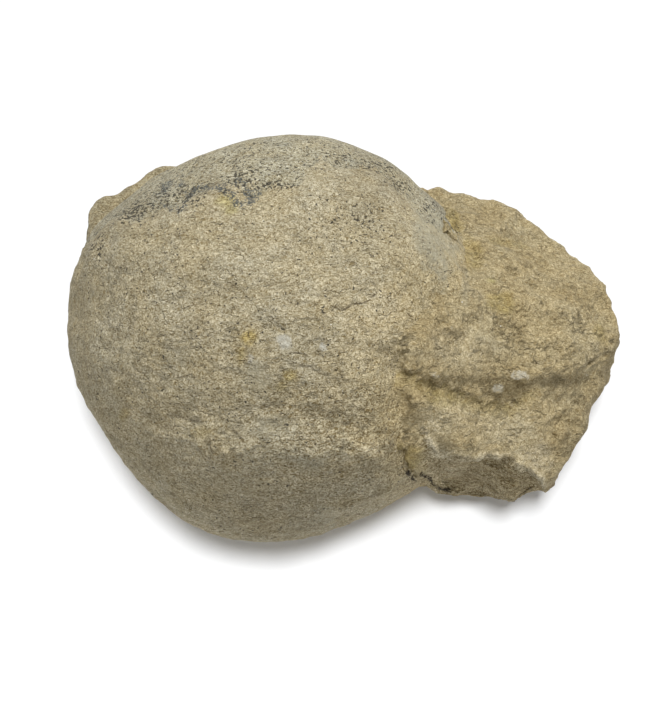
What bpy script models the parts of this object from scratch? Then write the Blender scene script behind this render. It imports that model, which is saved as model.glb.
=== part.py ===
"""Fossil tortoise egg, still bedded in a broken lump of its sandstone matrix.

The piece lies on its back: the rock bed is underneath, the lump of matrix that stayed on the egg's
right flank stands beside it, and the egg's worn face looks up. +X runs towards the lump, +Y towards
the bare shell at the egg's crown, +Z up. The origin is on the table under the middle of the piece.
"""

import math

import bmesh
import bpy
from mathutils import Matrix, Vector, noise

MM = 0.001

# Driving dimensions of the egg, a sphere slightly squashed by burial.
EGG_LENGTH = 55.4 * MM
EGG_WIDTH = 53.6 * MM
EGG_THICKNESS = 47.0 * MM
BED_THICKNESS = 3.0 * MM
EGG_CENTRE = Vector((0, 0, BED_THICKNESS + EGG_THICKNESS / 2))
EGG_AXES = Vector((EGG_LENGTH, EGG_WIDTH, EGG_THICKNESS)) / 2

# The egg and the rock are cemented in life. Here a thin joint keeps the two solids apart.
JOINT_GAP = 0.35 * MM

# Where the egg is worn flatter than its ellipsoid:
# (azimuth and elevation of the flat in degrees, depth worn off there).
EGG_FLATS = (
    (210, 4, 0.6 * MM),
    (116, 8, 0.6 * MM),
    (298, 0, 1.2 * MM),
    (-22, 46, 1.6 * MM),
    (100, 74, 0.8 * MM),
    (215, 50, 0.7 * MM),
)
FLAT_SHARE = 0.85  # how much of what stands over a flat is worn off: all of it would leave a facet
# Where it stands fuller: (azimuth, elevation, rise, spread in degrees).
EGG_SWELLS = (
    (170, 0, 0.9 * MM, 22),
    (250, 0, 1.0 * MM, 22),
    (70, 10, 0.4 * MM, 16),
    (20, 70, 0.5 * MM, 18),
    (255, 40, 0.5 * MM, 20),
)

# A sandy crust covers the egg except for a bare cap of shell at its crown. In plan, the crust's torn
# edge runs through these points, from the egg's left side to its right.
CRUST_THICKNESS = 0.7 * MM
CRUST_EDGE = (
    (-25.0 * MM, 7.0 * MM),
    (-21.0 * MM, 12.0 * MM),
    (-17.5 * MM, 10.5 * MM),
    (-16.0 * MM, 12.0 * MM),
    (-12.0 * MM, 12.5 * MM),
    (-10.5 * MM, 14.5 * MM),
    (-8.0 * MM, 15.0 * MM),
    (-5.0 * MM, 13.5 * MM),
    (-3.5 * MM, 12.5 * MM),
    (-1.5 * MM, 14.5 * MM),
    (2.0 * MM, 14.5 * MM),
    (3.5 * MM, 17.0 * MM),
    (5.0 * MM, 19.5 * MM),
    (8.0 * MM, 18.0 * MM),
    (12.0 * MM, 19.0 * MM),
    (16.0 * MM, 14.5 * MM),
    (19.0 * MM, 10.0 * MM),
    (22.0 * MM, 6.5 * MM),
    (24.0 * MM, 2.0 * MM),
)
CRUST_EDGE_WIDTH = 1.2 * MM
CRUST_EDGE_WANDER = ((4.0 * MM, 1.6 * MM),)  # (size, reach) of the edge's small bays

# Folds of the egg's worn face: (start, end, half width, rise), with start and end in plan.
EGG_FOLDS = {
    "diagonal groove": ((3.0 * MM, 0.5 * MM), (11.0 * MM, 10.0 * MM), 1.6 * MM, -0.8 * MM),
    "step beside the groove": ((7.5 * MM, -2.0 * MM), (13.0 * MM, 1.5 * MM), 1.3 * MM, -0.6 * MM),
    "swell between them": ((2.0 * MM, -5.0 * MM), (17.0 * MM, 7.0 * MM), 2.4 * MM, 0.7 * MM),
    "left hollow": ((-12.5 * MM, -1.5 * MM), (-11.0 * MM, -1.0 * MM), 2.0 * MM, -0.9 * MM),
    "lower left hollow": ((-12.0 * MM, -15.0 * MM), (-9.0 * MM, -14.0 * MM), 2.0 * MM, -0.9 * MM),
    "lower arc": ((-8.0 * MM, -19.0 * MM), (-5.0 * MM, -18.5 * MM), 1.4 * MM, 0.6 * MM),
    "lower ridge": ((2.0 * MM, -19.0 * MM), (14.0 * MM, -18.5 * MM), 1.6 * MM, 0.8 * MM),
    "groove above the ridge": ((0.0 * MM, -15.5 * MM), (11.0 * MM, -16.0 * MM), 1.5 * MM, -0.5 * MM),
    "ledge on the face": ((9.0 * MM, -8.0 * MM), (15.5 * MM, -8.5 * MM), 1.6 * MM, -0.9 * MM),
    "valley beside the rock": ((15.0 * MM, -10.0 * MM), (15.0 * MM, -18.0 * MM), 2.0 * MM, -1.0 * MM),
}

# The matrix: blocks of rock, each bounded by flat broken faces between its corners (x, y, z in
# millimetres from the point of the table under the egg's centre), fused into one.
ROCK_BLOCKS = {
    # The tall lump on the egg's right flank. Its top slopes from the egg's shoulder down to the right.
    "upper_slab": (
        (15.5, -9.5, 44.8),
        (15.5, -6.5, 45.7),
        (18.5, -2.5, 44.6),
        (22.0, 0.5, 42.0),
        (25.0, 2.5, 38.0),
        (24.5, 8.0, 33.5),
        (21.0, 13.5, 30.5),
        (19.5, 20.0, 25.5),
        (24.0, 20.0, 26.0),
        (31.8, 18.7, 26.0),
        (35.8, 13.4, 27.0),
        (40.7, 9.2, 27.5),
        (43.0, 6.0, 28.0),
        (45.7, 0.7, 29.0),
        (44.5, -3.0, 29.5),
        (37.0, -6.0, 33.5),
        (31.5, -9.0, 36.5),
        (24.5, -10.0, 39.5),
        (19.5, -9.0, 42.5),
        (18.0, -13.0, 22.0),
        (25.0, -16.0, 22.0),
        (31.0, -14.5, 20.0),
        (38.0, -11.0, 20.0),
        (44.0, -7.0, 16.0),
        (43.5, 4.0, 12.0),
        (34.5, 15.0, 9.0),
        (22.0, 19.0, 8.0),
        (37.0, -8.0, -1.0),
        (39.0, 1.0, -1.0),
        (32.0, 11.0, -1.0),
        (22.0, 15.0, -1.0),
        (10.0, 0.0, 10.0),
    ),
    # The lower lump in front of it. The step between the two is the ledge across the rock.
    "lower_slab": (
        (15.0, -11.0, 44.0),
        (15.5, -14.0, 41.4),
        (17.5, -15.5, 39.5),
        (22.5, -18.0, 34.0),
        (25.0, -18.0, 33.0),
        (30.5, -17.5, 32.5),
        (33.0, -18.5, 30.5),
        (36.0, -20.8, 27.5),
        (38.0, -17.7, 26.0),
        (39.2, -14.0, 26.0),
        (42.0, -11.0, 26.5),
        (43.5, -7.5, 27.0),
        (37.0, -5.0, 30.0),
        (31.5, -9.0, 32.0),
        (22.0, -20.0, 12.0),
        (30.0, -20.2, 11.0),
        (36.6, -20.0, 12.0),
        (38.8, -12.5, 11.0),
        (43.0, -5.0, 13.0),
        (18.0, -17.5, 12.0),
        (24.0, -16.5, -1.0),
        (33.0, -15.0, -1.0),
        (35.0, -5.0, -1.0),
        (12.0, -8.0, 10.0),
    ),
    # The bed under the egg: low in front, and half way up the egg behind it.
    "bed": (
        (-19.0, -13.0, -1.0),
        (-8.0, -18.0, -1.0),
        (9.0, -18.5, -1.0),
        (24.0, -15.5, -1.0),
        (31.0, -2.0, -1.0),
        (26.0, 14.0, -1.0),
        (11.0, 22.5, -1.0),
        (-9.0, 24.0, -1.0),
        (-21.0, 18.0, -1.0),
        (-24.0, 4.0, -1.0),
        (-22.5, -12.0, 4.5),
        (-10.0, -20.0, 5.0),
        (9.0, -20.0, 5.0),
        (22.0, -17.5, 7.0),
        (-26.0, 5.0, 6.0),
        (-24.0, 20.0, 8.0),
        (-9.0, 27.0, 7.0),
        (9.0, 27.0, 8.0),
        (24.0, 18.5, 9.0),
        (-6.0, 27.0, 14.0),
        (7.0, 26.0, 16.0),
        (18.0, 20.0, 18.0),
        (-18.0, 20.0, 13.0),
        (-14.0, 12.0, 15.0),
        (10.0, 12.0, 19.0),
        (-18.0, -4.0, 9.0),
        (0.0, -14.0, 8.0),
    ),
    # Two knobs of rock that stick out beyond the egg at its upper left.
    "left_knob": (
        (-28.0, 14.5, 16.5),
        (-28.6, 18.0, 15.5),
        (-28.3, 21.0, 15.0),
        (-26.8, 23.4, 15.0),
        (-24.5, 24.3, 15.0),
        (-19.0, 17.0, 20.5),
        (-20.0, 11.0, 20.0),
        (-27.0, 9.0, 6.0),
        (-27.5, 20.5, 6.0),
        (-24.0, 8.0, -1.0),
        (-25.0, 18.5, -1.0),
        (-20.0, 22.0, -1.0),
        (-12.0, 10.0, 8.0),
    ),
    "upper_knob": (
        (-24.0, 24.0, 15.5),
        (-21.0, 26.8, 15.5),
        (-18.8, 27.8, 15.5),
        (-16.5, 28.0, 15.5),
        (-11.0, 26.5, 16.0),
        (-14.0, 19.0, 20.0),
        (-19.0, 16.0, 20.0),
        (-23.0, 22.0, 5.0),
        (-18.0, 25.5, 4.0),
        (-8.0, 26.0, 5.0),
        (-18.0, 22.5, -1.0),
        (-8.0, 23.0, -1.0),
        (-12.0, 10.0, 8.0),
    ),
}

# Natural roughness: (size of the swell, its height) for each scale of it.
EGG_ROUGHNESS = ((13.0 * MM, 0.55 * MM), (5.5 * MM, 0.35 * MM), (2.6 * MM, 0.14 * MM))
ROUGHNESS_SHIFTS = {  # where each surface reads the noise, so that no two of them match
    "egg": Vector((17.3, 4.1, 9.7)),
    "rock": Vector((34.6, 8.2, 19.4)),
    "crust edge": Vector((86.5, 20.5, 48.5)),
}
ROCK_ROUGHNESS = ((14.0 * MM, 1.2 * MM), (6.0 * MM, 0.8 * MM), (2.8 * MM, 0.4 * MM))

# Fineness of the meshes. Both start dense, take their shape, and are then thinned out.
DENSE_SPHERE = 6
ROCK_VOXEL = 0.8 * MM
EGG_FACES_KEPT = 0.2
ROCK_FACES_KEPT = 0.12
TABLE_CUTTER_SIZE = 120 * MM

SHELL_COLOUR = (0.40, 0.36, 0.26, 1)
ROCK_COLOUR = (0.36, 0.29, 0.17, 1)


def clear_scene():
    """Removes every object that the start-up scene came with."""
    for obj in list(bpy.data.objects):
        bpy.data.objects.remove(obj)


def direction(azimuth, elevation):
    """Unit vector: azimuth from +X towards +Y, elevation above the table, both in degrees."""
    turn = math.radians(azimuth)
    lift = math.radians(elevation)
    return Vector((math.cos(lift) * math.cos(turn), math.cos(lift) * math.sin(turn), math.sin(lift)))


def smooth_step(low, high, value):
    """0 below low, 1 above high, and a smooth rise between them."""
    share = min(1.0, max(0.0, (value - low) / (high - low)))
    return share * share * (3 - 2 * share)


def roughness(point, scales, surface):
    """Height of a surface's natural roughness at a point, summed over its scales."""
    shift = ROUGHNESS_SHIFTS[surface]
    return sum(height * noise.noise(point / size + shift) for size, height in scales)


def height_over_line(x, line):
    """y of a left-to-right line of points at x, level beyond its ends."""
    if x <= line[0][0]:
        return line[0][1]
    for (x0, y0), (x1, y1) in zip(line, line[1:]):
        if x <= x1:
            return y0 + (y1 - y0) * (x - x0) / (x1 - x0)
    return line[-1][1]


def bare_egg_point(heading):
    """Point on the worn egg in a direction from its centre, before its crust and roughness."""
    point = Vector(a * h for a, h in zip(EGG_AXES, heading))
    for azimuth, elevation, rise, spread in EGG_SWELLS:
        angle = math.degrees(heading.angle(direction(azimuth, elevation)))
        point += heading * rise * math.exp(-((angle / spread) ** 2))
    for azimuth, elevation, depth in EGG_FLATS:
        facing = direction(azimuth, elevation)
        support = Vector(a * f for a, f in zip(EGG_AXES, facing)).length
        over = point.dot(facing) - (support - depth)
        if over > 0:
            point -= facing * over * FLAT_SHARE
    return EGG_CENTRE + point


def crust_on_egg(point):
    """Thickness of the sandy crust at a point of the egg: none on the bare cap of shell."""
    wander = roughness(point, CRUST_EDGE_WANDER, "crust edge")
    past_edge = height_over_line(point.x, CRUST_EDGE) + wander - point.y
    return CRUST_THICKNESS * smooth_step(0, CRUST_EDGE_WIDTH, past_edge)


def fold_rise(point):
    """How far the folds of the worn face lift or sink a point of the egg."""
    if point.z < EGG_CENTRE.z:
        return 0.0
    rise = 0.0
    for start, end, half_width, height in EGG_FOLDS.values():
        start = Vector(start)
        run = Vector(end) - start
        along = (point.xy - start).dot(run) / run.length_squared
        nearest = start + run * min(1.0, max(0.0, along))
        rise += height * math.exp(-(((point.xy - nearest).length / half_width) ** 2))
    return rise


def egg_point(heading):
    """Point on the finished egg in a direction from its centre."""
    point = bare_egg_point(heading)
    lift = crust_on_egg(point) + fold_rise(point) + roughness(point, EGG_ROUGHNESS, "egg")
    return point + heading * lift


def sphere_mesh(name, subdivisions, shape):
    """Mesh made of a sphere whose every vertex goes where shape sends its direction."""
    bm = bmesh.new()
    bmesh.ops.create_icosphere(bm, subdivisions=subdivisions, radius=1)
    for vert in bm.verts:
        vert.co = shape(vert.co.normalized())
    mesh = bpy.data.meshes.new(name)
    bm.to_mesh(mesh)
    bm.free()
    return mesh


def add_object(name, mesh, collection):
    """New object of this mesh, in the collection."""
    obj = bpy.data.objects.new(name, mesh)
    collection.objects.link(obj)
    return obj


def evaluated_mesh(obj, name):
    """Mesh of an object as its modifiers leave it."""
    bpy.context.view_layer.update()
    graph = bpy.context.evaluated_depsgraph_get()
    mesh = bpy.data.meshes.new_from_object(obj.evaluated_get(graph))
    mesh.name = name
    return mesh


def thinned(obj, share):
    """The object's mesh, with only this share of its faces kept where the shape needs them."""
    decimate = obj.modifiers.new("thin_out", "DECIMATE")
    decimate.ratio = share
    mesh = evaluated_mesh(obj, obj.name)
    obj.modifiers.remove(decimate)
    return mesh


def material(name, colour, rough):
    """Plain Principled material."""
    made = bpy.data.materials.new(name)
    made.use_nodes = True
    shader = made.node_tree.nodes["Principled BSDF"]
    shader.inputs["Base Color"].default_value = colour
    shader.inputs["Roughness"].default_value = rough
    shader.inputs["Metallic"].default_value = 0
    return made


def hide_helper(obj):
    """Keeps a cutter out of renders, and drawn as a wire."""
    obj.hide_render = True
    obj.display_type = "WIRE"


def make_egg(collection):
    """The egg: a worn, slightly squashed sphere with a torn crust of sand on its face."""
    egg = add_object("egg", sphere_mesh("egg", DENSE_SPHERE, egg_point), collection)
    egg.data = thinned(egg, EGG_FACES_KEPT)
    egg.data.shade_smooth()
    egg.data.materials.append(material("egg_shell_and_crust", SHELL_COLOUR, 0.9))
    return egg


def make_socket_cutter(egg, helpers):
    """A copy of the egg, swollen by the joint gap, that cuts its socket in the rock."""
    mesh = egg.data.copy()
    normals = [vert.normal.copy() for vert in mesh.vertices]
    for vert, normal in zip(mesh.vertices, normals):
        vert.co += normal * JOINT_GAP
    cutter = add_object("socket_cutter", mesh, helpers)
    hide_helper(cutter)
    return cutter


def make_table_cutter(helpers):
    """A box below the table, which trims the rock's underside flat where it would reach lower."""
    bm = bmesh.new()
    lowered = Matrix.Translation((0, 0, -TABLE_CUTTER_SIZE / 2))
    bmesh.ops.create_cube(bm, size=TABLE_CUTTER_SIZE, matrix=lowered)
    mesh = bpy.data.meshes.new("table_cutter")
    bm.to_mesh(mesh)
    bm.free()
    cutter = add_object("table_cutter", mesh, helpers)
    hide_helper(cutter)
    return cutter


def add_block(bm, corners):
    """Adds the block that lies between these corners."""
    verts = [bm.verts.new(Vector(corner) * MM) for corner in corners]
    hull = bmesh.ops.convex_hull(bm, input=verts)
    bmesh.ops.delete(bm, geom=hull["geom_interior"], context="VERTS")


def fused_blocks(collection):
    """One closed mesh fused from the rock's blocks."""
    bm = bmesh.new()
    for corners in ROCK_BLOCKS.values():
        add_block(bm, corners)
    bmesh.ops.recalc_face_normals(bm, faces=bm.faces)
    mesh = bpy.data.meshes.new("matrix")
    bm.to_mesh(mesh)
    bm.free()
    rock = add_object("matrix", mesh, collection)
    remesh = rock.modifiers.new("fuse", "REMESH")
    remesh.mode = "VOXEL"
    remesh.voxel_size = ROCK_VOXEL
    soften = rock.modifiers.new("soften", "SMOOTH")
    soften.factor = 0.5
    soften.iterations = 3
    rock.data = evaluated_mesh(rock, "matrix")
    rock.modifiers.clear()
    return rock


def roughen_rock(mesh):
    """Moves the rock's surface in and out by its natural roughness."""
    normals = [vert.normal.copy() for vert in mesh.vertices]
    for vert, normal in zip(mesh.vertices, normals):
        vert.co += normal * roughness(vert.co, ROCK_ROUGHNESS, "rock")


def make_matrix(collection, socket_cutter, table_cutter):
    """The rock: fused blocks, roughened, with the egg's socket and a flat underside."""
    rock = fused_blocks(collection)
    roughen_rock(rock.data)
    rock.data = thinned(rock, ROCK_FACES_KEPT)
    for name, cutter in (("socket", socket_cutter), ("underside", table_cutter)):
        cut = rock.modifiers.new(name, "BOOLEAN")
        cut.operation = "DIFFERENCE"
        cut.solver = "EXACT"
        cut.object = cutter
    rock.data.materials.append(material("sandstone", ROCK_COLOUR, 0.95))
    return rock


def move_to_origin(objects, collections):
    """Moves everything so that the origin is on the table, under the middle of the pieces' box."""
    bpy.context.view_layer.update()
    graph = bpy.context.evaluated_depsgraph_get()
    corners = []
    for obj in objects:
        mesh = obj.evaluated_get(graph).to_mesh()
        corners += [vert.co.copy() for vert in mesh.vertices]
    low = Vector(min(corner[axis] for corner in corners) for axis in range(3))
    high = Vector(max(corner[axis] for corner in corners) for axis in range(3))
    for collection in collections:
        for obj in collection.objects:
            obj.location = (-(low.x + high.x) / 2, -(low.y + high.y) / 2, -low.z)


def main():
    clear_scene()
    parts = bpy.data.collections.new("fossil_tortoise_egg")
    helpers = bpy.data.collections.new("cutters")
    for collection in (parts, helpers):
        bpy.context.scene.collection.children.link(collection)
    egg = make_egg(parts)
    rock = make_matrix(parts, make_socket_cutter(egg, helpers), make_table_cutter(helpers))
    move_to_origin((egg, rock), (parts, helpers))


main()
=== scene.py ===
"""Fossil tortoise egg in its broken lump of sandstone: the looks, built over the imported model.

Sizes on the object are in millimetres, and places on it are counted from its foot, the point of the
table under the egg's centre: x towards the lump of rock, y towards the bare shell, z up.
"""

import math

import bmesh
import bpy
import numpy as np
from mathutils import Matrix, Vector, noise
from mathutils.bvhtree import BVHTree


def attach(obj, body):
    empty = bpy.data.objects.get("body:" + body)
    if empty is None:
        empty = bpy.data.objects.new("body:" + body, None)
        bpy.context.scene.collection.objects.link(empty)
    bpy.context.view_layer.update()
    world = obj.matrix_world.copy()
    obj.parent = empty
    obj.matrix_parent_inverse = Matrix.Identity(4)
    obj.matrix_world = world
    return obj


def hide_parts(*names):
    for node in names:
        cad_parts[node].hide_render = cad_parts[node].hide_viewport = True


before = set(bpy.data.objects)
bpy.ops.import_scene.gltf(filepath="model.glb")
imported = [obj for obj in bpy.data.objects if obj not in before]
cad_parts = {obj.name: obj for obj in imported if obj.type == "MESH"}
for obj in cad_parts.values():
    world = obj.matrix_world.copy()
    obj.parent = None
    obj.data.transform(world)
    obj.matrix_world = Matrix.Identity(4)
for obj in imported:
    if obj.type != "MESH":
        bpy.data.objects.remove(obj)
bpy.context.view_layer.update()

MM = 0.001
FOOT = np.array((-8.08, 0.33, 0.0))  # the foot's place in the frame

# Fineness of the surfaces, and how far the facets of the solids are smoothed out first.
EGG_VOXEL = 0.38
ROCK_VOXEL = 0.36
EGG_SMOOTHING = 40
ROCK_SMOOTHING = 8
SKIN_HEIGHT = 0.45  # how far the rock's skin stands over the egg where the two are fused
SKIN_SINK = 1.7  # how far it then sinks under the egg's surface, away from the rock
SKIN_EDGE = (0.5, 2.0)  # how far from the rock its skin starts to sink, and where it has sunk
SOCKET_DEPTH = 0.8  # how far below the egg's surface the rock is cut away
FOLD_TURN = 0.25  # the cosine of the turn past which a point of the surface counts as folded
FOLD_REACH = 3  # how many rings of points round a fold are smoothed with it
FOLD_SMOOTHING = 20  # and how many times
SEED_STEP = 17.31  # how far apart two seeds read the noise
DRAWN_OUT = (0.6, 1, 1)  # relief that is read at places times this is drawn out along x
SCOOP_MIDDLE = 0.45  # the height that the scoops are about as often above as below
SCOOP_LEVELS = 0.5  # how much the scoops differ in depth
SCOOP_SPREAD = 91.7  # spreads the scoops' middles, so that each has a depth of its own
FLAKE_EDGE = 0.25  # the share of a flake that is its ragged drop
MARK_EDGE = (1.45, 0.55)  # where a mark ends and is whole, as shares of its radius
BUMP_EDGE = (1.25, 0.55)
LAP_EDGE = (1.3, 0.6)

# How high each kind of relief is.
CRUST_HEIGHT = 0.28  # the sandy crust, over the bare shell
EGG_KNOBBLY = 0.08
EGG_FLAKES = 0.16
EGG_PITS = 0.12
EGG_CHIPS = 0.15
ROCK_BROKEN = 0.34
ROCK_CHIPS = 0.33
ROCK_FLAKES = 0.25
ROCK_SPLINTERS = 0.24
EGG_DEEPEST = 0.16  # about how far it all goes down
ROCK_DEEPEST = 0.5

# The share of the relief that is left, lost or added in certain places.
SHELL_ROUGH = 0.3  # left on the bare shell
GREY_CALM = 0.6  # lost in the egg's grey marks
COARSE_GAIN = 0.5  # added where the egg is coarser
KNOBS_CALM = 0.4  # lost on the two knobs behind the egg
LEDGE_CALM = 0.4  # lost on the ledge under the long crease
WALL_GAIN = 0.45  # added where the lump's lower end broke off
CALM_ROUGH = 0.4  # lost where the rock is calmer
CALM_RELIEF = 0.25  # lost there by the relief itself

# The camera looks down on the piece from its front, 13 degrees off the vertical.
CAMERA_TARGET = np.array((6.51, -2.53, 25.91))
CAMERA_TILT = 13
CAMERA_DISTANCE = 0.29  # metres
CAMERA_LENS = 110
SENSOR_WIDTH = 36

# The heights between which things on the upper side come in.
EGG_UPPER = (30, 34)
ROCK_UPPER = (18, 24)
MARK_HEIGHTS = (16, 20)
STAIN_HEIGHTS = (22, 24)
CREVICE_HEIGHTS = (12, 14)
LAP_HEIGHTS = (10, 14)

# The torn lower edge of the bare cap of shell, from the egg's left side to its right.
CRUST_EDGE = (
    (-28.0, 8.5), (-25.0, 10.0), (-21.0, 12.0), (-17.5, 10.5), (-16.0, 12.0), (-12.0, 12.5), (-10.5, 14.5),
    (-8.0, 15.0), (-5.0, 13.5), (-3.5, 12.5), (-1.5, 14.5), (2.0, 14.5), (3.5, 17.0), (5.0, 19.5),
    (8.0, 18.0), (12.0, 19.0), (16.0, 15.0), (18.0, 11.5), (20.5, 10.6), (24.0, 12.0),
)
CRUST_START = (-0.1, 0.35)  # how far inside that edge the crust starts, and is whole
EDGE_RAGGED = 1.4  # how far the edge strays from its line
EDGE_STRAYING = 5  # how much farther it strays low down
EDGE_LOW = (34, 24)  # the heights between which it starts to
ROCKY_REACH = (13.0, 2.0)  # how far from the rock the crust takes on its colour, and has it whole

# Fine cracks and ragged little ledges of the egg's face: how strong each is, and its line.
EGG_CRACKS = {
    "ragged": (1.0, ((6.7, -2.6), (7.4, -2.9), (8.0, -2.8), (8.9, -2.1), (10.9, -1.5), (11.8, -0.6))),
    "left of centre": (0.7, ((-12.4, -2.4), (-11.6, -2.0), (-10.3, -1.8))),
    "upper left": (0.35, ((-18.0, 8.5), (-14.8, 7.3), (-12.4, 5.5), (-10.4, 4.8))),
    "upper step": (0.6, ((10.1, 1.3), (11.4, 1.9), (12.0, 2.6))),
    "hook": (0.5, ((14.0, 0.4), (14.9, -0.2), (15.4, -0.2), (15.9, 0.7))),
    "diagonal": (0.4, ((0.7, 5.1), (1.6, 6.4), (2.7, 7.8), (4.5, 8.2))),
    "rim": (0.7, ((15.5, 13.9), (15.9, 11.8))),
    "under the white": (0.6, ((0.0, -8.5), (1.3, -8.2), (2.5, -8.3), (3.2, -8.5))),
    "right of centre": (0.6, ((2.5, -9.8), (3.9, -9.9), (4.7, -10.5), (5.9, -10.8))),
    "centre": (0.5, ((4.9, -8.4), (6.8, -8.5))),
    "low centre": (0.5, ((-2.8, -14.5), (-1.9, -14.6), (-1.1, -14.3), (0.0, -14.3))),
    "left": (0.4, ((-16.9, -5.5), (-15.9, -6.2), (-14.1, -7.0))),
    "lower left": (0.6, ((-12.8, -10.5), (-11.6, -10.5), (-9.5, -10.9))),
    "far left": (0.4, ((-22.4, -7.9), (-21.1, -8.5), (-18.4, -9.6))),
    "lower curve": (0.5, ((-7.1, -15.9), (-6.3, -16.9), (-5.2, -17.5), (-4.6, -18.6))),
    "short": (0.5, ((-8.8, -18.0), (-8.6, -19.7))),
    "brown": (0.5, ((-13.1, -14.7), (-11.8, -15.3), (-10.1, -15.8))),
}
CRACK_REACH = 0.9  # how far from its line a crack is felt
CRACK_FAR = 9.0  # farther off than this, a crack's side isn't kept
CRACK_LIMIT = 2  # distances from a crack are kept up to this
CRACK_WIDTH = 0.25
CRACK_DEPTH = 0.14
CRACK_STEP = 0.10  # how far its sides stand up and down

# Little pits and lumps: (x, y, radius, height).
EGG_BUMPS = (
    (3.3, 5.9, 0.6, -0.35), (4.7, 4.7, 0.6, -0.4), (3.7, 3.5, 0.6, -0.35),
    (8.3, -20.4, 1.0, 0.35), (11.0, -19.2, 1.2, 0.4), (13.5, -18.1, 1.0, 0.3),
    (-8.5, -19.0, 0.5, 0.2), (-7.1, -19.8, 0.6, 0.25), (-5.2, -19.6, 0.6, 0.25),
)

# Broad swellings and hollows that shape the egg's outline as the camera sees it: (across, up,
# radius, height), across and up from the middle of its picture.
EGG_SWELLINGS = (
    (-31.5, 15.5, 5.5, 1.5), (-35.6, 6.1, 3.0, -0.5), (-26.4, -17.4, 4.0, -0.5), (1.5, -23.8, 6.0, -0.6),
    (11.7, 22.2, 2.5, -0.5),
)

# Painted shade on the egg's lower face, which gets less of the light from above, and a darker tone higher
# up on it; then where its grain and relief are coarser, as the camera sees it: (across, up, radius,
# strength).
EGG_PAINTED_SHADE_AND_TONE = (
    (5.1, 23.0, 4.5, 1.3), (-27.5, 17.5, 3.0, 1.0), (-16.5, 21.5, 3.0, 0.6), (-6.0, -26.0, 9.0, 1.0),
    (15.0, 21.0, 4.0, 0.8), (-24.0, 20.0, 3.0, 0.6), (0.0, -15.0, 6.0, 0.3),
    (3.7, -10.0, 4.0, 0.5), (-9.0, -8.5, 6.0, 0.35), (8.0, -17.0, 5.0, 0.4), (5.0, 15.5, 5.0, 0.3),
    (-8.0, 14.5, 5.0, 0.25),
)
EGG_COARSE = ((8.0, -11.0, 7.0, 0.9), (-3.0, -10.0, 8.0, 0.5), (-2.0, -18.0, 7.0, 0.7))
SHELL_COARSE = 0.4  # how coarse the bare shell's grain is

# Marks of one colour: (x, y, radius along x, radius along y, strength).
EGG_OCHRE = (
    (-3.9, -6.4, 0.9, 0.9, 1.0), (-4.8, -8.3, 0.6, 1.3, 0.8), (1.2, -11.0, 0.8, 0.7, 0.9),
    (0.3, -12.0, 0.7, 0.6, 0.6), (-20.2, -13.7, 0.7, 0.6, 0.6), (-10.5, -17.2, 1.5, 0.7, 0.4),
)
EGG_PALE = (
    (12.5, -4.5, 5.5, 5.0, 0.5), (8.3, -20.4, 1.2, 0.6, 0.6), (11.0, -19.2, 1.4, 0.6, 0.6),
    (-8.5, -19.0, 0.5, 0.4, 0.7), (-7.1, -19.8, 0.6, 0.4, 0.7), (-5.2, -19.6, 0.6, 0.4, 0.7),
)
EGG_YELLOW = ((-6.9, 12.0, 1.3, 1.0, 0.9), (-6.2, 10.8, 0.8, 0.8, 0.8))
EGG_WHITE = (
    (0.4, -7.0, 1.1, 0.9, 1.15), (5.4, -7.5, 0.6, 0.5, 1.1), (-3.7, -8.8, 0.5, 0.7, 0.9),
    (5.9, -21.8, 0.8, 0.3, 0.6), (9.4, -20.0, 1.4, 0.5, 0.4), (12.0, -18.8, 1.6, 0.5, 0.4),
)
EGG_GREY = (
    (-2.8, -11.1, 1.5, 1.9, 0.6), (-0.7, -16.7, 2.8, 1.3, 0.6), (3.7, -20.7, 1.7, 0.9, 0.6),
    (5.7, -26.0, 1.7, 0.9, 0.6), (19.8, 8.6, 3.2, 5.4, 0.9),
)

# Bluish-black stains along the shell's torn edge, as the camera sees them: strength and line.
STAINS = {
    "far left": (0.8, ((-22.9, 21.4), (-22.6, 22.2), (-22.0, 22.6))),
    "small ring": (0.6, ((-22.8, 19.7), (-22.0, 19.2), (-20.9, 19.1), (-19.9, 19.6), (-19.7, 20.4))),
    "dot": (0.6, ((-20.6, 23.3), (-20.5, 22.3))),
    "left arc": (1.0, ((-19.8, 20.4), (-19.3, 21.2), (-18.5, 21.9), (-17.4, 22.0), (-16.3, 21.9))),
    "middle arc": (1.0, ((-15.5, 22.2), (-14.5, 22.0), (-13.7, 21.2), (-13.2, 20.3), (-12.5, 19.9))),
    "right arc": (1.0, ((-13.0, 22.7), (-12.4, 23.1), (-11.8, 22.6), (-11.6, 21.5), (-11.4, 20.0))),
    "right end": (0.8, ((-11.2, 20.0), (-10.5, 20.7), (-10.2, 21.6))),
}
STAIN_WIDTH = 1.0
STROKE_WANDER = 0.25  # how far a stain or crevice strays from its line

# The clusters of black specks: (x, y, radius along x, radius along y, strength).
EGG_SPECKS = (
    (-19.5, 12.5, 2.6, 2.2, 1.2), (-24.0, 8.5, 1.5, 2.0, 0.9), (-16.0, 14.5, 3.0, 2.6, 1.0),
    (-12.0, 14.0, 3.0, 2.0, 1.0), (-5.0, 15.5, 2.6, 2.6, 1.0), (0.0, 14.4, 3.0, 0.8, 1.1),
    (2.0, 18.5, 3.5, 3.0, 0.45), (7.5, 20.0, 2.6, 2.0, 0.8), (12.0, 19.3, 3.0, 1.6, 1.0),
    (15.5, 16.8, 2.0, 1.6, 1.0), (19.0, 14.0, 1.2, 1.8, 1.0), (10.0, 9.5, 4.0, 3.5, 0.5),
    (-5.2, 19.5, 1.0, 1.0, 0.6),
)
SHELL_SPECKS = 0.5  # how thick they lie on the rest of the bare shell

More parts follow.
